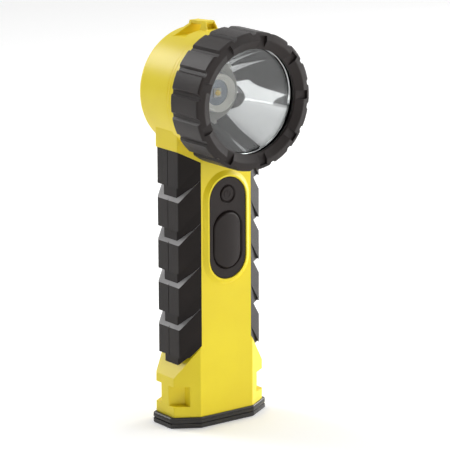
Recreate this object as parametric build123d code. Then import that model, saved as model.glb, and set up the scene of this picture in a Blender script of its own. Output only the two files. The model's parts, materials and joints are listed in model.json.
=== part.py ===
from build123d import *
import os
from math import cos, radians, sin, sqrt, tan

# Right-angle firefighter flashlight: yellow shell, rubber grips, screw bezel and two sprung switch caps.
# Frame: millimetres, +Z up, the lamp shines along -Y. The origin is the centre of the base's bottom face.
# Each function builds one named piece; main() writes each piece to its own STEP file.

# Whole lamp
HEAD_Z = 179.1            # height of the head's axis
RUNNING = 0.3             # gap between curved faces that move past each other

# Base: half sizes of eight-sided sections, as side face x, its half length, front face half width, half depth
CAP_SECTION = (31.7, 8.0, 17.4, 16.7)
CAP_TOP = 5.9
BLOCK_SECTION = (29.6, 8.1, 17.3, 15.6)
GRIP_SECTION = (26.6, 9.5, 16.3, 15.6)
SHOULDER_SECTION = (27.3, 9.9, 16.3, 15.6)
LEDGE_Z = 27.6            # where the sloping ledge leaves the block's side face
LEDGE_SLOPE = 1.33        # rise of the ledge per millimetre inwards
POCKET_Z = (11.7, 22.8)
POCKET_END_X = 22.1
POCKET_DEPTH = 4.15
SCREW_X = 25.2

# Grip teeth
NECK_SECTION = (25.0, 5.8, 19.2, 13.2)
RELIEF_AT_PANEL = 0.05    # depth of the notch on each angled face, at the flat panel
RELIEF_AT_SIDE = 2.0      # the same at the side face
TOOTH_STEP = 23.15
TOOTH_LEDGE_Z = 30.75     # lowest upward ledge at the grip's widest point
TOOTH_FOOT_Z = 38.5       # lower edge of the tooth above that ledge
TOOTH_SLOPE = tan(radians(50))
NOTCHES = 5
GRIP_TOP_Z = 150.5
GRIP_TOP_SLOPE = 0.546

# Hollow for the cells
PANEL_HALF = 16.3         # half width of the flat front and back panels
CORE_CORNERS = [(22.4, 5.0), (20.2, 10.2), (PANEL_HALF, 12.7)]
CAVITY_CORNERS = [(20.0, 4.6), (18.3, 8.6), (14.2, 11.3), (14.2, 13.3)]
CAVITY_TOP = 156.0

# Head, as radii and distances forward of the lamp's middle plane
DRUM_R = 32.6
DRUM_REAR = -18.7
DRUM_INNER_R = 29.4
REAR_INNER_R = 28.2
SHOULDER = -5.0
COLLAR_END = 16.4
SPIGOT_R = 31.6
SPIGOT_END = 32.0
BEZEL_REAR = 16.7
BEZEL_R = 36.5
BEZEL_GROOVE_R = 35.1
BEZEL_EDGE = 40.2         # distance forward of the wall's front edge
RIDGE_R = 32.3            # the face's highest ring, between an outer and an inner slope
RIDGE_FRONT = 40.9
BEZEL_WINDOW_R = 27.5
WINDOW_FRONT = 38.9
BEZEL_STEP = 36.6
NOTCH_FLOOR = 39.1
NOTCH_OUTER_R = 34.7
NOTCH_HALF = 2.35
PADS = 18
LIP_NOTCHES = 9

# Lanyard lug, as heights above the head's axis
LUG_TOP = 37.2
LUG_HALF = 2.9            # half width of the bar and of the post's top
SLOT_FLOOR = 29.3
SLOT_Y = (1.5, 9.9)

# Optics
FOCUS = 6.23              # focal length of the reflector's parabola
APEX = 2.07               # distance forward of the parabola's lowest point
RIM_R = 27.9
RIM_FRONT = 33.3
NECK_HOLE_R = 10.8
HOLDER_R = 10.2
BOARD_FRONT = 7.2
LENS_FRONT = 35.6
LENS_THICK = 2.0
LENS_R = 31.2

# Switch panel on the front face
FRONT_Y = -15.6
PANEL_Z = 107.7
BOOT_SIZE = (23.8, 55.2)
RIM_BASE = (30.6, 62.4)
RIM_FRONT_Y = -17.3
RIM_TAPER = 55            # degrees between the rim's flank and the lamp's front direction
BOOT_FRONT_Y = -17.0
BOOT_BACK_Y = -14.4
BUTTON_Z = 126.1
BUTTON_R = 4.1
PAD_Z = 101.2
PAD_SIZE = (17.8, 30.2)
PAD_FRONT_Y = -18.2
PAD_CROWN_R = 28.0        # radius of the crown across the large cap
STEM_END_Y = -9.3

# Cells and their carrier
CELL_R = 7.1
CELL_LENGTH = 49.0
NUB_LENGTH = 1.5
CELL_X = 7.6
CELL_Y = 4.2
BRIDGE_Z = 10.5
CARRIER_TOP = 115.4

HEAD = Plane(origin=(0, 0, HEAD_Z), x_dir=(1, 0, 0), z_dir=(0, -1, 0))


# Shared shapes

def ring_of_corners(quarter):
    """Closed outline, mirrored from its corners with positive x and y, counted from the side face."""
    upper = quarter + [(-x, y) for x, y in reversed(quarter)]
    return upper + [(-x, -y) for x, y in upper]


def outline(quarter, corner=0.0):
    """Flat face inside a mirrored outline, with its corners rounded."""
    face = make_face(Polyline(*ring_of_corners(quarter), close=True))
    return fillet(face.vertices(), corner) if corner else face


def eight_sided(section, corner=0.0, grow=0.0):
    """Flat face of an eight-sided section."""
    side_x, side_y, front_x, front_y = section
    return outline([(side_x + grow, side_y), (front_x, front_y + grow)], corner)


def prism(face, low, high):
    """Upright solid of a flat face between two heights."""
    return extrude(Pos(0, 0, low) * face, amount=high - low)


def block(x_range, y_range, z_range):
    """Box between limits."""
    size = [high - low for low, high in (x_range, y_range, z_range)]
    middle = [(high + low) / 2 for low, high in (x_range, y_range, z_range)]
    return Pos(*middle) * Box(*size)


def above(z_at_reference, reference, slope, top=260.0):
    """Both halves of the space above planes that rise towards x = 0."""
    reach, depth = 45.0, 60.0
    low_middle = z_at_reference + reference * slope
    low_side = z_at_reference + (reference - reach) * slope
    points = [
        (0, 0, low_middle), (reach, 0, low_side), (reach, 0, top), (-reach, 0, top), (-reach, 0, low_side),
    ]
    return extrude(make_face(Polyline(*points, close=True)), amount=depth / 2, dir=(0, 1, 0), both=True)


def turned(points):
    """Solid of revolution about the head's axis, from corners of radius and distance forward."""
    face = make_face(Polyline(*[(radius, 0, forward) for radius, forward in points], close=True))
    return HEAD.location * revolve(face, Axis.Z)


def tube(inner, outer, rear, front):
    """Ring about the head's axis."""
    return turned([(inner, rear), (outer, rear), (outer, front), (inner, front)])


def disc(radius, rear, front, x=0.0, up=0.0):
    """Cylinder parallel to the head's axis, offset from it by x and up."""
    return HEAD.location * Pos(x, up, (rear + front) / 2) * Cylinder(radius, front - rear)


def pill(width, height):
    """Upright rounded slot shape."""
    return SlotOverall(height, width, rotation=90)


def facing(shape, z, back_y, front_y, x=0.0, taper=0.0):
    """Solid of a flat shape that faces the lamp's front, between two y values."""
    plane = Plane(origin=(x, back_y, z), x_dir=(1, 0, 0), z_dir=(0, -1, 0))
    return extrude(plane * shape, amount=back_y - front_y, taper=taper)


def merged(*shapes):
    """One solid made of overlapping shapes."""
    result = shapes[0]
    for shape in shapes[1:]:
        result = result + shape
    return result


def group(shapes):
    """Separate solids that share a node."""
    return Compound(children=[solid for shape in shapes for solid in shape.solids()])


# Shell

def block_and_tube():
    """Outside of the base block, the core under the grips and the neck above them."""
    core = outline(CORE_CORNERS + [(PANEL_HALF, -FRONT_Y)])
    base = prism(eight_sided(BLOCK_SECTION, 0.8), CAP_TOP, 60.0) - above(LEDGE_Z, BLOCK_SECTION[0], LEDGE_SLOPE)
    neck = prism(eight_sided(SHOULDER_SECTION, 1.2), 140.0, 168.0)
    neck &= above(GRIP_TOP_Z, GRIP_SECTION[0], -GRIP_TOP_SLOPE)
    return merged(base, prism(core, CAP_TOP, 160.0), neck)


def drum():
    """Round head with its stepped collar and the spigot that the bezel screws on."""
    body = turned([(0, DRUM_REAR), (DRUM_R, DRUM_REAR), (DRUM_R, 6.6), (0, 6.6)])
    rear_edge = body.edges().filter_by(GeomType.CIRCLE).sort_by(Axis.Y)[-1]
    body = fillet(rear_edge, 4.0)
    steps = [
        (0, 6.0), (DRUM_R - 0.6, 6.0), (DRUM_R - 0.6, 7.1), (33.4, 7.3), (33.4, 9.2), (32.7, 9.5), (32.7, 10.0),
        (33.9, 10.2), (33.9, 12.2), (33.2, 12.5), (33.2, 13.0), (34.4, 13.2), (34.4, COLLAR_END),
        (SPIGOT_R, COLLAR_END), (SPIGOT_R, SPIGOT_END - 0.5), (SPIGOT_R - 0.5, SPIGOT_END), (0, SPIGOT_END),
    ]
    return body + turned(steps)


def side_profile(points, half):
    """Solid of an outline in the middle plane, as y and height above the axis, from x = -half to half."""
    face = make_face(Polyline(*[(0, y, HEAD_Z + up) for y, up in points], close=True))
    return extrude(face, amount=half, dir=(1, 0, 0), both=True)


def front_profile(right_half, front_y, back_y):
    """Solid of a mirrored outline seen from the front, as x and height above the axis, between two y values."""
    points = right_half + [(-x, up) for x, up in reversed(right_half)]
    face = make_face(Polyline(*[(x, front_y, HEAD_Z + up) for x, up in points], close=True))
    return extrude(face, amount=back_y - front_y, dir=(0, 1, 0))


def lanyard_slot():
    """Straight channel from side to side under the lug's bar."""
    return block((-20, 20), SLOT_Y, (HEAD_Z + SLOT_FLOOR, HEAD_Z + 34.9))


def lanyard_lug():
    """Lug on top of the head: rear web, bar and hollowed front post."""
    slot_front, slot_back = SLOT_Y
    bar = side_profile([(-2.0, LUG_TOP), (10.9, 36.3), (10.9, 34.4), (1.0, 35.3), (-2.0, 35.5)], LUG_HALF)
    web = front_profile([(LUG_HALF, 36.3), (3.4, 34.5), (14.9, SLOT_FLOOR), (14.9, 22)], slot_back, 12.1)
    lean_points = [(-2.0, LUG_TOP), (-4.8, 31.9), (-4.8, 28), (slot_front, 28), (slot_front, 33), (1.0, LUG_TOP)]
    lean = side_profile(lean_points, 10)
    post = front_profile([(LUG_HALF, LUG_TOP), (3.9, 32.4), (3.9, 28)], -6, 3) & lean
    hollow = front_profile([(2.3, 36.5), (3.2, 32.9)], -6, -0.6)
    return merged(bar, web, post - hollow)


def corner_pockets():
    """Four pockets at the base's corners, open to the side face and to the angled face."""
    side_x, side_y, front_x, front_y = BLOCK_SECTION
    run, rise = side_x - front_x, front_y - side_y
    slant = run / sqrt(run * run + rise * rise)
    gradient = rise / run
    back_at_side = side_y - POCKET_DEPTH / slant
    back_at_end = back_at_side + (side_x - POCKET_END_X) * gradient
    reach = 4.0
    points = [
        (POCKET_END_X, back_at_end), (side_x + reach, back_at_side - reach * gradient),
        (side_x + reach, 20), (POCKET_END_X, 20),
    ]
    pocket = prism(make_face(Polyline(*points, close=True)), *POCKET_Z)
    right = [pocket, mirror(pocket, about=Plane.XZ)]
    return right + [mirror(shape, about=Plane.YZ) for shape in right]


def boss_places():
    """Places of the three head bosses, as x and height above the head's axis."""
    return [(23 * cos(radians(angle)), 23 * sin(radians(angle))) for angle in (90, 210, 330)]


def housing():
    """One-piece yellow shell."""
    rim = facing(pill(*RIM_BASE), PANEL_Z, FRONT_Y, RIM_FRONT_Y, taper=RIM_TAPER)
    shell = merged(block_and_tube(), drum(), rim)
    shell -= prism(outline(CAVITY_CORNERS), CAP_TOP - 1, CAVITY_TOP)
    shell -= disc(DRUM_INNER_R, SHOULDER, 60)
    shell -= disc(REAR_INNER_R, DRUM_REAR + 2.4, 0)
    slot_floor = block((-16, 16), (-0.8, 12.1), (HEAD_Z + 26, HEAD_Z + 30)) & disc(DRUM_R - 1, -14, 4)
    shell = shell + slot_floor - lanyard_slot() + lanyard_lug()
    for x, up in boss_places():
        shell += disc(3.0, DRUM_REAR + 1, SHOULDER, x, up)
        shell -= disc(1.25, -12, SHOULDER + 1, x, up)
    for angle in (30, 150, 270):
        shell += disc(1.5, DRUM_REAR + 1, -14.1, 14 * cos(radians(angle)), 14 * sin(radians(angle)))
    shell -= turned([(30.15, 18.7), (33, 18.7), (33, 20.5), (30.15, 20.5)])
    for pocket in corner_pockets():
        shell -= pocket
    for x in (-SCREW_X, SCREW_X):
        shell -= Pos(x, 0, 10) * Cylinder(2.02, 14)
    shell -= facing(pill(BOOT_SIZE[0] + 0.4, BOOT_SIZE[1] + 0.4), PANEL_Z, BOOT_BACK_Y, -20)
    shell -= facing(pill(20.6, 52.0), PANEL_Z, -10, -20)
    return shell


# Grips

def relief_section():
    """Section whose angled faces lie at the floor of the shallow notches."""
    beyond = 2.0
    side_x, side_y = GRIP_SECTION[:2]
    floor_at_panel = -FRONT_Y - RELIEF_AT_PANEL
    floor_at_side = side_y - RELIEF_AT_SIDE
    gradient = (floor_at_panel - floor_at_side) / (side_x - PANEL_HALF)
    return (side_x + beyond, floor_at_side - beyond * gradient, PANEL_HALF, floor_at_panel)


def grip_notch(index):
    """Space between two teeth: a deep step on the side face and a shallow one on the angled faces."""
    side_x = GRIP_SECTION[0]
    ledge_z = TOOTH_LEDGE_Z + index * TOOTH_STEP
    foot_z = TOOTH_FOOT_Z + index * TOOTH_STEP
    over_ledge = above(ledge_z, side_x, TOOTH_SLOPE)
    outside = eight_sided(GRIP_SECTION, grow=1.0)
    neck = outline([NECK_SECTION[:2], NECK_SECTION[2:], (PANEL_HALF, -FRONT_Y - RELIEF_AT_PANEL)], 0.8)
    deep = prism(outside - neck, ledge_z - 2, foot_z) & over_ledge
    shallow = prism(outside - eight_sided(relief_section()), ledge_z - 2, foot_z + 16) & over_ledge
    shallow -= above(foot_z, side_x, TOOTH_SLOPE)
    return merged(deep, shallow)


def grip(side):
    """Rubber grip of one side, with its teeth; side is 1 for right and -1 for left."""
    pad = prism(eight_sided(GRIP_SECTION, 1.2), 25.0, 155.0)
    pad &= above(LEDGE_Z, BLOCK_SECTION[0], LEDGE_SLOPE)
    pad -= above(GRIP_TOP_Z, GRIP_SECTION[0], -GRIP_TOP_SLOPE)
    pad &= block((PANEL_HALF, 40), (-30, 30), (0, 200))
    pad -= prism(outline(CORE_CORNERS + [(PANEL_HALF, -FRONT_Y)]), 20, 160)
    for index in range(NOTCHES):
        pad -= grip_notch(index)
    pad -= block((GRIP_SECTION[0] - 0.5, 30), (-0.2, 0.2), (0, 200))
    return pad if side > 0 else mirror(pad, about=Plane.YZ)


# Base

def foot_groove(depth, low, high):
    """Ring of the foot's outer skin, from which a groove of that depth is cut between two heights."""
    band = prism(eight_sided(CAP_SECTION, grow=2), low, high)
    return band - prism(eight_sided(CAP_SECTION, 0.8, grow=-depth), low - 0.4, high + 0.4)


def base_cap():
    """Octagonal foot that closes the cell compartment."""
    cap = prism(eight_sided(CAP_SECTION, 1.0), 0, CAP_TOP)
    cap = chamfer(cap.faces().sort_by(Axis.Z)[0].edges(), 0.5)
    cap = chamfer(cap.faces().sort_by(Axis.Z)[-1].edges(), 0.35)
    cap -= foot_groove(0.7, 2.5, 3.3)
    cap -= foot_groove(0.3, 4.6, 4.9)
    cap += prism(offset(outline(CAVITY_CORNERS), -0.3), CAP_TOP - 1, 8.3)
    cap -= base_gasket()
    for x in (-SCREW_X, SCREW_X):
        cap -= Pos(x, 0, 3) * Cylinder(2.2, 10)
        cap -= Pos(x, 0, 1.7) * Cylinder(3.8, 3.4)
    return cap


def base_gasket():
    """Flat seal between the foot and the shell."""
    seat = offset(outline(CAVITY_CORNERS), 1.7) - offset(outline(CAVITY_CORNERS), 0.4)
    return prism(seat, CAP_TOP - 1, CAP_TOP)


def base_screws():
    """Two captive screws with slotted heads, sunk in the foot."""
    screws = []
    for x in (-SCREW_X, SCREW_X):
        shank = Pos(x, 0, 9.2) * Cylinder(2.0, 12.4)
        head = Pos(x, 0, 2.1) * Cylinder(3.6, 2.6)
        slot = block((x - 4, x + 4), (-0.5, 0.5), (0.5, 1.8))
        screws.append(merged(shank, head) - slot)
    return group(screws)


# Head

def bezel():
    """Screw ring with grip pads round its wall and short notches across the ridge on its face."""
    bore = SPIGOT_R + RUNNING
    ring = turned([
        (bore, BEZEL_REAR), (BEZEL_R - 0.7, BEZEL_REAR), (BEZEL_R, BEZEL_REAR + 0.7),
        (BEZEL_R, BEZEL_EDGE - 0.9), (BEZEL_R - 0.25, BEZEL_EDGE - 0.25), (BEZEL_R - 0.9, BEZEL_EDGE),
        (RIDGE_R + 0.3, RIDGE_FRONT), (RIDGE_R - 0.3, RIDGE_FRONT), (BEZEL_WINDOW_R + 0.4, WINDOW_FRONT),
        (BEZEL_WINDOW_R, WINDOW_FRONT - 0.4), (BEZEL_WINDOW_R + 0.6, BEZEL_STEP), (bore, BEZEL_STEP),
    ])
    groove_points = [(BEZEL_GROOVE_R, -0.9), (BEZEL_R + 1, -3.1), (BEZEL_R + 1, 2.7), (BEZEL_GROOVE_R, 0.9)]
    groove = prism(make_face(Polyline(*groove_points, close=True)), BEZEL_REAR - 1, RIDGE_FRONT)
    for index in range(PADS):
        ring -= HEAD.location * Rot(0, 0, 360 / PADS * (index + 0.5)) * groove
    notch = block((BEZEL_WINDOW_R, NOTCH_OUTER_R), (-NOTCH_HALF, NOTCH_HALF), (NOTCH_FLOOR, RIDGE_FRONT + 1))
    for index in range(LIP_NOTCHES):
        ring -= HEAD.location * Rot(0, 0, 360 / LIP_NOTCHES * index) * notch
    return ring


def lens():
    """Flat clear window with bevelled rims."""
    rear, front = LENS_FRONT - LENS_THICK, LENS_FRONT
    rim = [(LENS_R - 0.4, rear), (LENS_R, rear + 0.4), (LENS_R, front - 0.4), (LENS_R - 0.4, front)]
    return turned([(0, rear)] + rim + [(0, front)])


def lens_gasket():
    """Flat seal between the window and the bezel."""
    return tube(28.5, LENS_R, LENS_FRONT, LENS_FRONT + 0.7)


def head_o_ring():
    """Seal in the spigot's groove."""
    return HEAD.location * Pos(0, 0, 19.6) * Torus(31.0, 0.8)


def reflector():
    """Parabolic bowl with a flat flange that sits on the spigot."""
    scale = 4 * FOCUS
    inner_low = (NECK_HOLE_R, 0, APEX + NECK_HOLE_R ** 2 / scale)
    inner_high = (RIM_R, 0, RIM_FRONT)
    middle = (NECK_HOLE_R + RIM_R) / 2
    bend = (middle, 0, inner_low[2] + 2 * NECK_HOLE_R / scale * (middle - NECK_HOLE_R))
    thick = 1.2
    flange_rear = RIM_FRONT - 1.3
    wall_top = sqrt(scale * (flange_rear - APEX)) + thick
    outer_low = (NECK_HOLE_R + thick, 0, inner_low[2])
    outer_mid = (middle + thick, 0, bend[2])
    bowl = Bezier(inner_low, bend, inner_high)
    flange = Polyline(inner_high, (LENS_R, 0, RIM_FRONT), (LENS_R, 0, flange_rear), (wall_top, 0, flange_rear))
    back = Bezier((wall_top, 0, flange_rear), outer_mid, outer_low)
    face = make_face([bowl, flange, back, Line(outer_low, inner_low)])
    return HEAD.location * revolve(face, Axis.Z)


def led_holder():
    """White ring that clamps the light source's board and shades its rim."""
    return turned([
        (9.35, 3.0), (HOLDER_R, 3.0), (HOLDER_R, 9.8), (HOLDER_R - 0.4, 10.2), (9.3, 10.2),
        (6.9, BOARD_FRONT + 0.4), (6.9, BOARD_FRONT + 0.05), (9.35, BOARD_FRONT + 0.05),
    ])


def led_board():
    """Metal-core board under the light source."""
    return disc(9.1, BOARD_FRONT - 1.6, BOARD_FRONT)


def led_emitter():
    """Square ceramic package of the light source."""
    return HEAD.location * Pos(0, 0, BOARD_FRONT + 0.35) * Box(4.6, 4.6, 0.7)


def led_dome():
    """Small phosphor dome on the package."""
    ball = HEAD.location * Pos(0, 0, BOARD_FRONT + 0.7) * Sphere(1.6)
    return ball & disc(4, BOARD_FRONT + 0.7, BOARD_FRONT + 4)


def led_leads():
    """Two wires from the driver board through the heat sink to the light source's board."""
    return group([disc(0.6, -12.5, BOARD_FRONT - 1.6, x) for x in (-5, 5)])


def heat_sink():
    """Aluminium disc with a post for the light source and upright fins behind."""
    sink = merged(disc(29.1, SHOULDER, -2), disc(HOLDER_R, -3, 3), disc(9.2, 2, BOARD_FRONT - 1.6))
    for index in range(-4, 5):
        height = sqrt(21 ** 2 - (index * 4) ** 2)
        sink += HEAD.location * Pos(index * 4, 0, SHOULDER - 2) * Box(1.2, 2 * height, 4.4)
    sink -= block((-9, 9), (-10, 15), (140, HEAD_Z - 22))
    sink -= block((-20, 20), (-10, 15), (HEAD_Z + 25.3, 220))
    for x, up in boss_places():
        sink -= disc(3.4, -12, SHOULDER, x, up)
        sink -= disc(1.4, -12, 0, x, up)
    for x in (-5, 5):
        sink -= disc(0.8, -15, 8, x)
    return sink


def heat_sink_screws():
    """Three pan-head screws that hold the heat sink to the shell's bosses."""
    return group([merged(disc(1.22, -11, -1.5, x, up), disc(2.4, -2, -0.4, x, up)) for x, up in boss_places()])


def driver_board():
    """Round circuit board behind the heat sink."""
    return disc(19.5, -14.1, -12.5)


def driver_parts():
    """Coil, capacitors and control chip on the driver board."""
    coil = disc(4.0, -12.5, -9.8, 9.5, -6)
    capacitors = [disc(2.2, -12.5, -9.8, x, 9) for x in (-9, -3)]
    chip = HEAD.location * Pos(-8, -5, -11.9) * Box(6, 6, 1.2)
    return group([coil, *capacitors, chip])


# Switch panel

def switch_boot():
    """Rubber pill plate with an opening for each cap and a shallow moat round each opening."""
    plate = facing(pill(*BOOT_SIZE), PANEL_Z, BOOT_BACK_Y, BOOT_FRONT_Y)
    plate = fillet(plate.faces().sort_by(Axis.Y)[0].edges(), 0.5)
    plate -= facing(Circle(BUTTON_R + RUNNING), BUTTON_Z, -14, -20)
    plate -= facing(Circle(BUTTON_R + 0.4), BUTTON_Z, -16.3, -17.1, taper=-45)
    pad_width, pad_height = PAD_SIZE
    plate -= facing(pill(pad_width + 0.6, pad_height + 0.6), PAD_Z, -14, -20)
    plate -= facing(pill(pad_width + 0.7, pad_height + 0.7), PAD_Z, -16.4, -17.1, taper=-45)
    return plate


def power_button():
    """Small round cap with a raised power symbol, a retaining flange and a stem."""
    cap = facing(Circle(BUTTON_R), BUTTON_Z, -14.3, -17.05)
    cap = chamfer(cap.faces().sort_by(Axis.Y)[0].edges(), 0.45)
    flange = facing(Circle(5.0), BUTTON_Z, -13.3, -14.3)
    stem = facing(Circle(1.5), BUTTON_Z, STEM_END_Y, -13.4)
    ring = Circle(2.3) - Circle(1.75) - Pos(0, 2) * Rectangle(1.7, 2.4)
    bar = Pos(0, 1.55) * Rectangle(0.55, 2.1)
    symbol = [facing(mark, BUTTON_Z, -17.0, -17.25) for mark in (ring, bar)]
    return merged(cap, flange, stem, *symbol)


def mode_pad():
    """Large oval cap, domed for a gloved thumb, with a retaining flange and a stem."""
    cap = facing(pill(*PAD_SIZE), PAD_Z, -14.3, PAD_FRONT_Y)
    cap &= Pos(0, PAD_FRONT_Y + PAD_CROWN_R, PAD_Z) * Cylinder(PAD_CROWN_R, 2 * PAD_SIZE[1])
    cap = fillet(cap.faces().sort_by(Axis.Y)[0].edges(), 1.3)
    flange = facing(pill(19.6, 32.0), PAD_Z, -13.3, -14.3)
    stem = facing(Circle(2.0), PAD_Z, STEM_END_Y, -13.4)
    return merged(cap, flange, stem)


def switch_carrier():
    """Plastic tray behind the caps, with a guide hole for each stem and posts for the switch board."""
    tray = facing(pill(26, 57.4), PANEL_Z, -10.1, -13.2)
    tray -= facing(pill(20.6, 52), PANEL_Z, -11.5, -14)
    for z, radius in ((BUTTON_Z, 1.8), (PAD_Z, 2.3)):
        tray -= facing(Circle(radius), z, -9, -14)
    for x in (-8, 8):
        for z in (92, 117):
            tray += facing(Circle(1.5), z, -7.2, -10.5, x)
    for z in carrier_screw_heights():
        tray -= facing(Circle(0.95), z, -9, -14)
    return tray


def carrier_screw_heights():
    """Heights of the two screws that hold the tray, in its solid ends."""
    return (PANEL_Z - 27.3, PANEL_Z + 27.3)


def carrier_screws():
    """Two small screws that hold the tray to the shell's front wall."""
    screws = []
    for z in carrier_screw_heights():
        screws.append(merged(facing(Circle(0.9), z, -10, -13.2), facing(Circle(1.3), z, -9.2, -10.1)))
    return group(screws)


def switch_body(size, z, bore):
    """Square tactile switch, with a blind bore that takes the end of a cap's stem."""
    body = facing(Rectangle(size, size), z, -7.2, -9.9)
    return body - facing(Circle(bore), z, -7.6, -11)


def switch_board():
    """Upright circuit board that carries the two switches."""
    return facing(Rectangle(20, 50), 112, -5.6, -7.2)


# Cells

def cell_places():
    """Name, x, bottom height and direction of each cell; 1 has its button up."""
    left, right = BRIDGE_Z + 3.5, BRIDGE_Z + 0.4
    step = CELL_LENGTH + NUB_LENGTH
    return [
        ("cell_lower_left", -CELL_X, left, 1), ("cell_upper_left", -CELL_X, left + step, 1),
        ("cell_lower_right", CELL_X, right, -1), ("cell_upper_right", CELL_X, right + step, -1),
    ]


def cell(x, low, direction):
    """AA cell: can with bevelled ends and a button contact."""
    can_low = low if direction > 0 else low + NUB_LENGTH
    nub_low = low + CELL_LENGTH if direction > 0 else low
    can = Pos(x, CELL_Y, can_low + CELL_LENGTH / 2) * Cylinder(CELL_R, CELL_LENGTH)
    can = chamfer(can.edges().filter_by(GeomType.CIRCLE), 0.5)
    return can + Pos(x, CELL_Y, nub_low + NUB_LENGTH / 2) * Cylinder(2.7, NUB_LENGTH)


def two_columns(radius):
    """Slot shape round both columns of cells."""
    return Pos(0, CELL_Y) * SlotCenterToCenter(2 * CELL_X, 2 * radius)


def battery_carrier():
    """Open-fronted plastic tray that holds the cells between two end plates."""
    tray = prism(two_columns(8.3), BRIDGE_Z - 2, CARRIER_TOP + 2)
    tray -= prism(two_columns(7.5), BRIDGE_Z, CARRIER_TOP)
    return tray - block((-20, 20), (-10, 0.5), (BRIDGE_Z, CARRIER_TOP))


def contact_plate(low, high):
    """Thin plated strip across both columns."""
    return prism(two_columns(5.5), low, high)


def top_terminals():
    """Two separate plates at the carrier's top, one for each column."""
    return group([Pos(x, CELL_Y, CARRIER_TOP - 0.2) * Cylinder(5.5, 0.4) for x in (-CELL_X, CELL_X)])


def contact_spring(x, low, high):
    """Round-wire spring pressed between a plate and a cell."""
    wire = 0.35
    turns = 2.5
    height = high - low - 2 * wire
    coil = Helix(height / turns, height, 3.2)
    profile = Plane(origin=coil @ 0, z_dir=coil % 0) * Circle(wire)
    return Pos(x, CELL_Y, low + wire) * sweep(profile, path=coil)


def contact_springs():
    """Springs under the left column and over the right one."""
    right_top = BRIDGE_Z + 0.4 + 2 * (CELL_LENGTH + NUB_LENGTH)
    lower = contact_spring(-CELL_X, BRIDGE_Z + 0.4, BRIDGE_Z + 3.5)
    upper = contact_spring(CELL_X, right_top, CARRIER_TOP - 0.4)
    return group([lower, upper])


def wire(points, radius, bend):
    """Round wire along straight runs joined by arcs."""
    path = FilletPolyline(*points, radius=bend)
    return sweep(Plane(origin=path @ 0, z_dir=path % 0) * Circle(radius), path=path)


def battery_leads():
    """Two wires from the carrier's terminals up the neck to the driver board."""
    top = CARRIER_TOP + 2
    leads = []
    for side in (-1, 1):
        route = [(side * 7.6, 4.2, top), (side * 7.6, 4.2, 134), (side * 4, 11.7, 150), (side * 4, 11.75, 166)]
        leads.append(wire(route, 0.7, 8))
    return group(leads)


def switch_lead():
    """Wire from the switch board up the neck to the driver board."""
    return wire([(0, -4.9, 130), (0, -4.9, 140), (0, 11.6, 152), (0, 11.85, 166)], 0.6, 5)


def pieces():
    """Every node's name and solid."""
    parts = {
        "housing": housing(), "grip_left": grip(-1), "grip_right": grip(1),
        "base_cap": base_cap(), "base_gasket": base_gasket(), "base_screws": base_screws(),
        "bezel": bezel(), "lens": lens(), "lens_gasket": lens_gasket(), "head_o_ring": head_o_ring(),
        "reflector": reflector(), "led_holder": led_holder(), "led_board": led_board(),
        "led_emitter": led_emitter(), "led_dome": led_dome(), "led_leads": led_leads(),
        "heat_sink": heat_sink(), "heat_sink_screws": heat_sink_screws(),
        "driver_board": driver_board(), "driver_parts": driver_parts(),
        "switch_boot": switch_boot(), "power_button": power_button(), "mode_pad": mode_pad(),
        "switch_carrier": switch_carrier(), "carrier_screws": carrier_screws(),
        "power_switch": switch_body(6, BUTTON_Z, 1.8), "pad_switch": switch_body(8, PAD_Z, 2.3),
        "switch_board": switch_board(), "battery_carrier": battery_carrier(),
        "bottom_bridge": contact_plate(BRIDGE_Z, BRIDGE_Z + 0.4), "top_terminals": top_terminals(),
        "contact_springs": contact_springs(), "battery_leads": battery_leads(), "switch_lead": switch_lead(),
    }
    for name, x, low, direction in cell_places():
        parts[name] = cell(x, low, direction)
    return parts


def main():
    """Write one STEP file for each node."""
    os.makedirs("parts", exist_ok=True)
    for name, shape in pieces().items():
        export_step(shape, f"parts/{name}.step")


main()
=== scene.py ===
import json
import math

import bpy
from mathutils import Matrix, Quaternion, Vector


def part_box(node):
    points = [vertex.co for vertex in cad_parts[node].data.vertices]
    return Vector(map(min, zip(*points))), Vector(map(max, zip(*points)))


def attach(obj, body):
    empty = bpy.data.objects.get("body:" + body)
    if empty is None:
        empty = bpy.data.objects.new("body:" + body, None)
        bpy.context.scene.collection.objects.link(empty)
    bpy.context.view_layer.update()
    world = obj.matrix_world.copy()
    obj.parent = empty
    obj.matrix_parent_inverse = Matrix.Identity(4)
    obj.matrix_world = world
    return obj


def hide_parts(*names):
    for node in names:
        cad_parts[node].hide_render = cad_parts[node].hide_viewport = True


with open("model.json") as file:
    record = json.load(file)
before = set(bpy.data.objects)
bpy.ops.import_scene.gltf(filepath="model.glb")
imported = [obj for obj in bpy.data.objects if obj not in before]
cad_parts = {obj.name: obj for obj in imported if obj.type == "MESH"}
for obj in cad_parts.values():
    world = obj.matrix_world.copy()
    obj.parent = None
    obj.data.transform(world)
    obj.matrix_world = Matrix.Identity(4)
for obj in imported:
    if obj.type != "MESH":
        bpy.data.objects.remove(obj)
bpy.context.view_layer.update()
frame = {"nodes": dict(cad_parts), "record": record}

# Looks of a right-angle firefighter flashlight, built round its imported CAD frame.
# Metres, +Z up, the lamp shines along -Y.

NODES = frame["nodes"]

# Camera: place, direction, focal length in millimetres and roll in degrees
CAMERA_PLACE = (-0.88189, -1.20133, 0.47660)
CAMERA_DIRECTION = (0.578813, 0.778892, -0.241459)
CAMERA_LENS = 230.445
CAMERA_ROLL = -0.2345

# Room: its brightness behind the camera and behind the lamp, and how it runs from one to the other
ROOM_FRONT = 0.05
ROOM_BACK = 0.68
ROOM_AXIS = (0.6, 0.8, 0.0)
ROOM_SPAN = (-0.5, 0.6)

# Floor: half its width, its glow near the lamp and far from it, and the distances where that changes
FLOOR_REACH = 6.0
FLOOR_GLOW = 0.16
FAR_GLOW = 0.46
FAR_SPAN = (0.9, 1.9)

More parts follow.
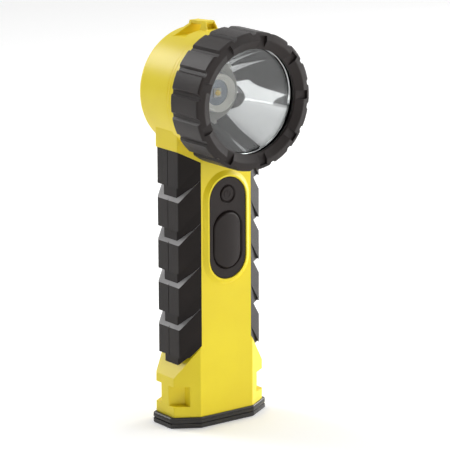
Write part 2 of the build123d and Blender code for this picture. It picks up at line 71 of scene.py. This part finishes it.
# Softboxes: direction from the lamp, distance, size and power of each
LAMP_MIDDLE = Vector((0.0, 0.0, 0.11))
SOFTBOXES = {
    "key": ((0.82, -0.52, 0.5), 1.3, (0.8, 0.8), 7.5),
    "right": ((1.0, 0.12, 0.12), 1.3, (0.7, 0.9), 16.0),
    "rim": ((-0.34, 0.78, 0.53), 1.3, (0.5, 0.5), 7.0),
    "top": ((-0.1, 0.1, 1.0), 1.2, (0.8, 0.8), 4.0),
    "front": ((0.25, -1.0, 0.22), 1.4, (1.0, 0.75), 4.0),
}

# Painted highlight on upward rubber faces, pale grey standing in for light from above: its colour, and the
# upward share of a normal where it starts and where it is full
PAINTED_HIGHLIGHT = (0.56, 0.55, 0.555, 1.0)
HIGHLIGHT_STARTS = 0.3
HIGHLIGHT_FULL = 0.75

# Large patches of colour: their scale per metre, and a metal's share of its own colour in the darkest
PLASTIC_PATCHES = 30.0
RUBBER_PATCHES = 38.0
METAL_PATCHES = 70.0
METAL_DARKENING = 0.7
METAL_RELIEF = 0.00001

# Reflector, in metres: its parabola, the bead round its mouth and the flange that it sits on
FOCUS = 0.00623
APEX = 0.00207
BOWL_RADII = (0.0108, 0.0279)
BOWL_ROWS = 40
BEAD = [(0.02805, 0.03345), (0.0283, 0.03352), (0.02855, 0.03345), (0.0287, 0.0333)]
FLANGE_R = 0.0312
FLANGE_FRONT = 0.0333
FLANGE_THICK = 0.0013
WALL = 0.0012
TURNED_SEGMENTS = 160
SHARP_EDGE = math.radians(30)


# Node helpers

class Shader:
    """A new material with short calls to add and join nodes."""

    def __init__(self, name):
        self.material = bpy.data.materials.new(name)
        self.material.use_nodes = True
        self.tree = self.material.node_tree
        self.surface = self.tree.nodes["Principled BSDF"]
        self.place = self.add("ShaderNodeTexCoord").outputs["Object"]

    def add(self, kind, inputs=(), **settings):
        """A node with its settings and its inputs, each a value or a socket to join."""
        node = self.tree.nodes.new(kind)
        for name, value in settings.items():
            setattr(node, name, value)
        for name, value in dict(inputs).items():
            self.feed(node.inputs[name], value)
        return node

    def feed(self, socket, value):
        """Joins another socket to an input, or sets the input to a plain value."""
        if isinstance(value, bpy.types.NodeSocket):
            self.tree.links.new(value, socket)
        else:
            socket.default_value = value

    def set(self, **values):
        """Inputs of the surface shader, with underscores for spaces in their names."""
        for name, value in values.items():
            self.feed(self.surface.inputs[name.replace("_", " ")], value)

    def stretched(self, scale):
        """The object's place, scaled along its axes."""
        return self.add("ShaderNodeMapping", {"Vector": self.place, "Scale": scale}).outputs["Vector"]

    def noise(self, scale, detail=3.0, roughness=0.5, place=None):
        """Soft random values round 0.5."""
        inputs = {"Vector": place or self.place, "Scale": scale, "Detail": detail, "Roughness": roughness}
        return self.add("ShaderNodeTexNoise", inputs).outputs["Fac"]

    def spread(self, value, low, high, from_low=0.3, from_high=0.7):
        """A value carried from one range to another."""
        inputs = {"Value": value, "From Min": from_low, "From Max": from_high, "To Min": low, "To Max": high}
        return self.add("ShaderNodeMapRange", inputs).outputs["Result"]

    def blend(self, factor, first, second):
        """A colour between two. The mix node keeps its colours in inputs 6 and 7 and in output 2."""
        return self.add("ShaderNodeMix", {"Factor": factor, 6: first, 7: second}, data_type="RGBA").outputs[2]

    def sum(self, first, second, share=1.0):
        """The first value plus a share of the second."""
        inputs = {0: second, 1: share, 2: first}
        return self.add("ShaderNodeMath", inputs, operation="MULTIPLY_ADD").outputs[0]

    def bump(self, height, distance, strength=1.0):
        """A normal for a relief whose full height is the distance."""
        inputs = {"Height": height, "Distance": distance, "Strength": strength}
        return self.add("ShaderNodeBump", inputs).outputs["Normal"]


def colour(red, green, blue):
    """Opaque colour."""
    return (red, green, blue, 1.0)


# Materials

# rough is the middle of the roughness, grain the pattern's scale per metre and depth its relief in metres

def moulded(name, light, dark, rough, grain, depth, specular=0.5, coat=0.0):
    """Moulded plastic: a fine spark-eroded grain over faint large patches of colour."""
    shader = Shader(name)
    patches = shader.noise(PLASTIC_PATCHES, 2.0)
    grains = shader.noise(grain, 4.0, 0.6)
    tone = shader.spread(shader.sum(patches, grains, 0.35), 0.0, 1.0, 0.5, 0.85)
    shader.set(
        Base_Color=shader.blend(tone, light, dark),
        Roughness=shader.spread(grains, rough - 0.06, rough + 0.06),
        Specular_IOR_Level=specular,
        Normal=shader.bump(grains, depth),
        Coat_Weight=coat,
        Coat_Roughness=0.25,
    )
    return shader.material


def rubber(name, light, dark, rough, grain=1400.0, depth=0.00006, specular=0.4, sheen=0.0, painted_highlight=0.0):
    """Black rubber: a pebbled skin, with a share of painted pale highlight on the faces that look up."""
    shader = Shader(name)
    pebbles = shader.add("ShaderNodeTexVoronoi", {"Vector": shader.place, "Scale": grain}).outputs["Distance"]
    fine = shader.noise(grain * 2.2, 3.0, 0.65)
    patches = shader.noise(RUBBER_PATCHES, 3.0)
    tone = shader.spread(shader.sum(patches, fine, 0.4), 0.0, 1.0, 0.5, 0.9)
    normal = shader.add("ShaderNodeNewGeometry").outputs["Normal"]
    upward = shader.add("ShaderNodeSeparateXYZ", {"Vector": normal}).outputs["Z"]
    # Painted highlight: faces that look up are painted pale grey, with more specular and roughness, in place
    # of light falling from above
    highlight_speckle = shader.spread(shader.sum(patches, fine, 0.6), 0.55, 1.0, 0.6, 0.95)
    highlight_cover = shader.spread(upward, 0.0, painted_highlight, HIGHLIGHT_STARTS, HIGHLIGHT_FULL)
    painted_highlight_share = shader.add("ShaderNodeMath", {0: highlight_cover, 1: highlight_speckle}, operation="MULTIPLY").outputs[0]
    skin = shader.spread(fine, rough - 0.07, rough + 0.07)
    shader.set(
        Base_Color=shader.blend(painted_highlight_share, shader.blend(tone, dark, light), PAINTED_HIGHLIGHT),
        Roughness=shader.sum(skin, painted_highlight_share, 0.3),
        Specular_IOR_Level=shader.spread(painted_highlight_share, specular, specular + 0.4, 0.0, 1.0),
        Normal=shader.bump(shader.sum(fine, pebbles, 0.6), depth),
        Sheen_Weight=sheen,
        Sheen_Roughness=0.5,
    )
    return shader.material


def metal(name, tint, rough, streak=(40.0, 40.0, 900.0)):
    """Metal with fine drawn or turned lines; streak is how close they lie along each axis."""
    shader = Shader(name)
    lines = shader.noise(1.0, 3.0, 0.6, shader.stretched(streak))
    worn = shader.noise(METAL_PATCHES, 3.0)
    darker = colour(*[METAL_DARKENING * channel for channel in tint[:3]])
    shader.set(
        Base_Color=shader.blend(shader.spread(worn, 0.0, 0.5), tint, darker),
        Metallic=1.0,
        Roughness=shader.spread(lines, rough * 0.7, rough * 1.3),
        Normal=shader.bump(lines, METAL_RELIEF),
    )
    return shader.material


def chrome():
    """Vacuum-plated reflector with faint ripples and haze."""
    shader = Shader("reflector_chrome")
    ripples = shader.noise(60.0, 2.0)
    haze = shader.noise(400.0, 3.0)
    shader.set(
        Base_Color=shader.blend(haze, colour(0.72, 0.72, 0.71), colour(0.64, 0.65, 0.66)),
        Metallic=1.0,
        Roughness=shader.spread(haze, 0.03, 0.07),
        Normal=shader.bump(ripples, 0.0002, 0.3),
    )
    return shader.material


def clear_lens():
    """Polished clear window, with faint smears in its gloss."""
    shader = Shader("lens_clear")
    smears = shader.noise(60.0, 4.0, 0.7)
    shader.set(
        Base_Color=colour(0.97, 0.98, 0.98),
        Roughness=shader.spread(smears, 0.0, 0.03),
        Transmission_Weight=1.0,
        IOR=1.45,
        Normal=shader.bump(smears, 0.000002, 0.2),
    )
    return shader.material


def circuit_board():
    """Green board with copper tracks under its mask."""
    shader = Shader("circuit_board")
    inputs = {"Vector": shader.place, "Scale": 180.0, "Mortar Size": 0.04}
    tracks = shader.add("ShaderNodeTexBrick", inputs).outputs["Fac"]
    shader.set(
        Base_Color=shader.blend(tracks, colour(0.02, 0.16, 0.07), colour(0.05, 0.32, 0.14)),
        Roughness=shader.spread(shader.noise(300.0), 0.25, 0.4),
        Normal=shader.bump(tracks, 0.00004),
    )
    return shader.material


def cell_sleeve():
    """Printed sleeve of a cell: dark body with a copper-coloured band at one end of its length."""
    shader = Shader("cell_can")
    inputs = {"Vector": shader.place, "Scale": 3.1, "Distortion": 0.0}
    bands = shader.add("ShaderNodeTexWave", inputs, bands_direction="Z")
    share = shader.spread(bands.outputs["Fac"], 0.0, 1.0, 0.82, 0.84)
    wear = shader.noise(500.0)
    shader.set(
        Base_Color=shader.blend(share, colour(0.02, 0.022, 0.025), colour(0.55, 0.25, 0.07)),
        Metallic=0.5,
        Roughness=shader.spread(wear, 0.25, 0.38),
        Normal=shader.bump(wear, 0.000008),
    )
    return shader.material


def paint_nodes():
    """Makes every material, gives each CAD node its own and hands them all back by slot."""
    made = {
        "yellow_shell": moulded(
            "yellow_shell", colour(0.90, 0.725, 0.014), colour(0.85, 0.665, 0.011), rough=0.42,
            grain=2200.0, depth=0.00002, specular=0.4, coat=0.08,
        ),
        # Grips: their upward ledges carry the full painted highlight
        "grip_rubber": rubber(
            "grip_rubber", colour(0.017, 0.0120, 0.0105), colour(0.010, 0.0070, 0.0062), rough=0.50,
            specular=0.2, sheen=0.10, painted_highlight=1.0,
        ),
        "bezel_rubber": rubber(
            "bezel_rubber", colour(0.022, 0.0155, 0.0140), colour(0.013, 0.0092, 0.0083), rough=0.46,
            specular=0.25, sheen=0.08,
        ),
        "base_plastic": moulded(
            "base_plastic", colour(0.022, 0.019, 0.018), colour(0.015, 0.013, 0.012), rough=0.42,
            grain=1800.0, depth=0.00002,
        ),
        "switch_rubber": rubber(
            "switch_rubber", colour(0.022, 0.0155, 0.0140), colour(0.015, 0.0106, 0.0096), rough=0.42,
            grain=2600.0, depth=0.00003, specular=0.25,
        ),
        "lens_clear": clear_lens(),
        "reflector_chrome": chrome(),
        "white_plastic": moulded(
            "white_plastic", colour(0.92, 0.91, 0.84), colour(0.86, 0.85, 0.77), rough=0.42,
            grain=1500.0, depth=0.00001,
        ),
        "seal_rubber": rubber("seal_rubber", colour(0.02, 0.02, 0.02), colour(0.01, 0.01, 0.01), rough=0.55),
        "aluminium_board": metal(
            "aluminium_board", colour(0.20, 0.225, 0.25), rough=0.45, streak=(300.0, 300.0, 300.0)
        ),
        "ceramic": moulded(
            "ceramic", colour(0.62, 0.60, 0.50), colour(0.5, 0.48, 0.42), rough=0.5,
            grain=3000.0, depth=0.00001,
        ),
        "phosphor": moulded(
            "phosphor", colour(0.85, 0.62, 0.08), colour(0.75, 0.5, 0.05), rough=0.2,
            grain=2500.0, depth=0.000005, coat=0.8,
        ),
        "heat_sink_aluminium": metal(
            "heat_sink_aluminium", colour(0.72, 0.73, 0.75), rough=0.38, streak=(300.0, 20.0, 300.0)
        ),
        "steel": metal("steel", colour(0.6, 0.6, 0.6), rough=0.3),
        "circuit_board": circuit_board(),
        "component_black": moulded(
            "component_black", colour(0.03, 0.03, 0.032), colour(0.02, 0.02, 0.022), rough=0.4,
            grain=2500.0, depth=0.00001,
        ),
        "carrier_plastic": moulded(
            "carrier_plastic", colour(0.05, 0.05, 0.055), colour(0.035, 0.035, 0.04), rough=0.45,
            grain=1500.0, depth=0.00001,
        ),
        "contact_metal": metal(
            "contact_metal", colour(0.8, 0.76, 0.62), rough=0.25, streak=(200.0, 200.0, 200.0)
        ),
        "cell_can": cell_sleeve(),
        "wire_insulation": moulded(
            "wire_insulation", colour(0.5, 0.03, 0.02), colour(0.42, 0.02, 0.015), rough=0.4,
            grain=2500.0, depth=0.00001,
        ),
    }
    slots = {row["node"]: row["material_slot"] for row in frame["record"]["subparts"]}
    for name, node in NODES.items():
        node.data.materials.clear()
        node.data.materials.append(made[slots[name]])
    return made


# Pieces built here

def lathe(name, profile, centre):
    """Smooth closed ring turned about the head's axis, from corners of radius and distance forward."""
    vertices, faces = [], []
    count = len(profile)
    for step in range(TURNED_SEGMENTS):
        angle = 2 * math.pi * step / TURNED_SEGMENTS
        across, up = math.cos(angle), math.sin(angle)
        for radius, forward in profile:
            vertices.append((centre[0] + radius * across, -forward, centre[2] + radius * up))
        here = step * count
        following = (step + 1) % TURNED_SEGMENTS * count
        for row in range(count):
            after = (row + 1) % count
            faces.append((here + row, here + after, following + after, following + row))
    mesh = bpy.data.meshes.new(name)
    mesh.from_pydata(vertices, [], faces)
    mesh.validate()
    mesh.shade_smooth()
    mesh.set_sharp_from_angle(angle=SHARP_EDGE)
    ring = bpy.data.objects.new(name, mesh)
    bpy.context.scene.collection.objects.link(ring)
    return ring


def reflector(material):
    """Smooth plated bowl in place of the CAD node's faceted mesh, inside the same outline."""
    inner, outer = BOWL_RADII
    radii = [inner + (outer - inner) * row / BOWL_ROWS for row in range(BOWL_ROWS + 1)]
    bowl = [(radius, APEX + radius ** 2 / (4 * FOCUS)) for radius in radii]
    flange_rear = FLANGE_FRONT - FLANGE_THICK
    flange = [(FLANGE_R, FLANGE_FRONT), (FLANGE_R, flange_rear), (outer + WALL * 0.6, flange_rear)]
    behind_flange = [point for point in reversed(bowl) if point[1] < flange_rear - FLANGE_THICK]
    back = [(radius + WALL, forward) for radius, forward in behind_flange]
    low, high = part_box("reflector")
    centre = (low + high) / 2
    ring = lathe("reflector_bowl", bowl + BEAD + flange + back, centre)
    ring.data.materials.append(material)
    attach(ring, "lamp")
    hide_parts("reflector")


# Stage

def aim(thing, direction):
    """Turns a camera or a light to look along a direction."""
    thing.rotation_mode = "QUATERNION"
    thing.rotation_quaternion = Vector(direction).to_track_quat("-Z", "Y")


def camera():
    """Long lens at the photograph's viewing angle: 36.6 degrees round to the left and 14 degrees up."""
    data = bpy.data.cameras.new("camera")
    data.sensor_width = 36.0
    data.lens = CAMERA_LENS
    data.clip_start = 0.1
    data.clip_end = 20.0
    view = bpy.data.objects.new("camera", data)
    view.location = CAMERA_PLACE
    bpy.context.scene.collection.objects.link(view)
    aim(view, CAMERA_DIRECTION)
    roll = Quaternion((0.0, 0.0, 1.0), math.radians(CAMERA_ROLL))
    view.rotation_quaternion = view.rotation_quaternion @ roll
    bpy.context.scene.camera = view


def softbox(name, direction, distance, size, power):
    """Rectangular area light that faces the lamp from a direction."""
    data = bpy.data.lights.new(name, "AREA")
    data.shape = "RECTANGLE"
    data.size, data.size_y = size
    data.energy = power
    light = bpy.data.objects.new(name, data)
    towards = Vector(direction).normalized()
    light.location = LAMP_MIDDLE + towards * distance
    bpy.context.scene.collection.objects.link(light)
    aim(light, -towards)


def surroundings():
    """Even pale room behind the lamp that darkens towards the camera's side."""
    world = bpy.data.worlds.new("surroundings")
    world.use_nodes = True
    nodes, links = world.node_tree.nodes, world.node_tree.links
    direction = nodes.new("ShaderNodeTexCoord").outputs["Generated"]
    backward = nodes.new("ShaderNodeVectorMath")
    backward.operation = "DOT_PRODUCT"
    backward.inputs[1].default_value = ROOM_AXIS
    links.new(direction, backward.inputs[0])
    level = nodes.new("ShaderNodeMapRange")
    level.inputs["From Min"].default_value = ROOM_SPAN[0]
    level.inputs["From Max"].default_value = ROOM_SPAN[1]
    level.inputs["To Min"].default_value = ROOM_FRONT
    level.inputs["To Max"].default_value = ROOM_BACK
    links.new(backward.outputs["Value"], level.inputs["Value"])
    background = nodes["Background"]
    background.inputs["Color"].default_value = colour(1.0, 1.0, 1.0)
    links.new(level.outputs["Result"], background.inputs["Strength"])
    bpy.context.scene.world = world


def floor():
    """White paper floor that glows faintly, and more further off, so that it stays white under soft light."""
    mesh = bpy.data.meshes.new("floor")
    signs = ((-1, -1), (1, -1), (1, 1), (-1, 1))
    mesh.from_pydata([(x * FLOOR_REACH, y * FLOOR_REACH, 0) for x, y in signs], [], [(0, 1, 2, 3)])
    plane = bpy.data.objects.new("floor", mesh)
    shader = Shader("floor_paper")
    distance = shader.add("ShaderNodeVectorMath", {0: shader.place}, operation="LENGTH").outputs["Value"]
    shader.set(
        Base_Color=shader.blend(shader.noise(3.0), colour(0.93, 0.93, 0.93), colour(0.91, 0.91, 0.91)),
        Roughness=0.8,
        Specular_IOR_Level=0.1,
        Emission_Color=colour(1.0, 1.0, 1.0),
        Emission_Strength=shader.spread(distance, FLOOR_GLOW, FAR_GLOW, *FAR_SPAN),
    )
    mesh.materials.append(shader.material)
    bpy.context.scene.collection.objects.link(plane)


def studio():
    """Room, floor and softboxes."""
    bpy.context.scene.view_settings.view_transform = "Standard"
    surroundings()
    floor()
    for name, (direction, distance, size, power) in SOFTBOXES.items():
        softbox(name, direction, distance, size, power)


camera()
studio()
materials = paint_nodes()
reflector(materials["reflector_chrome"])
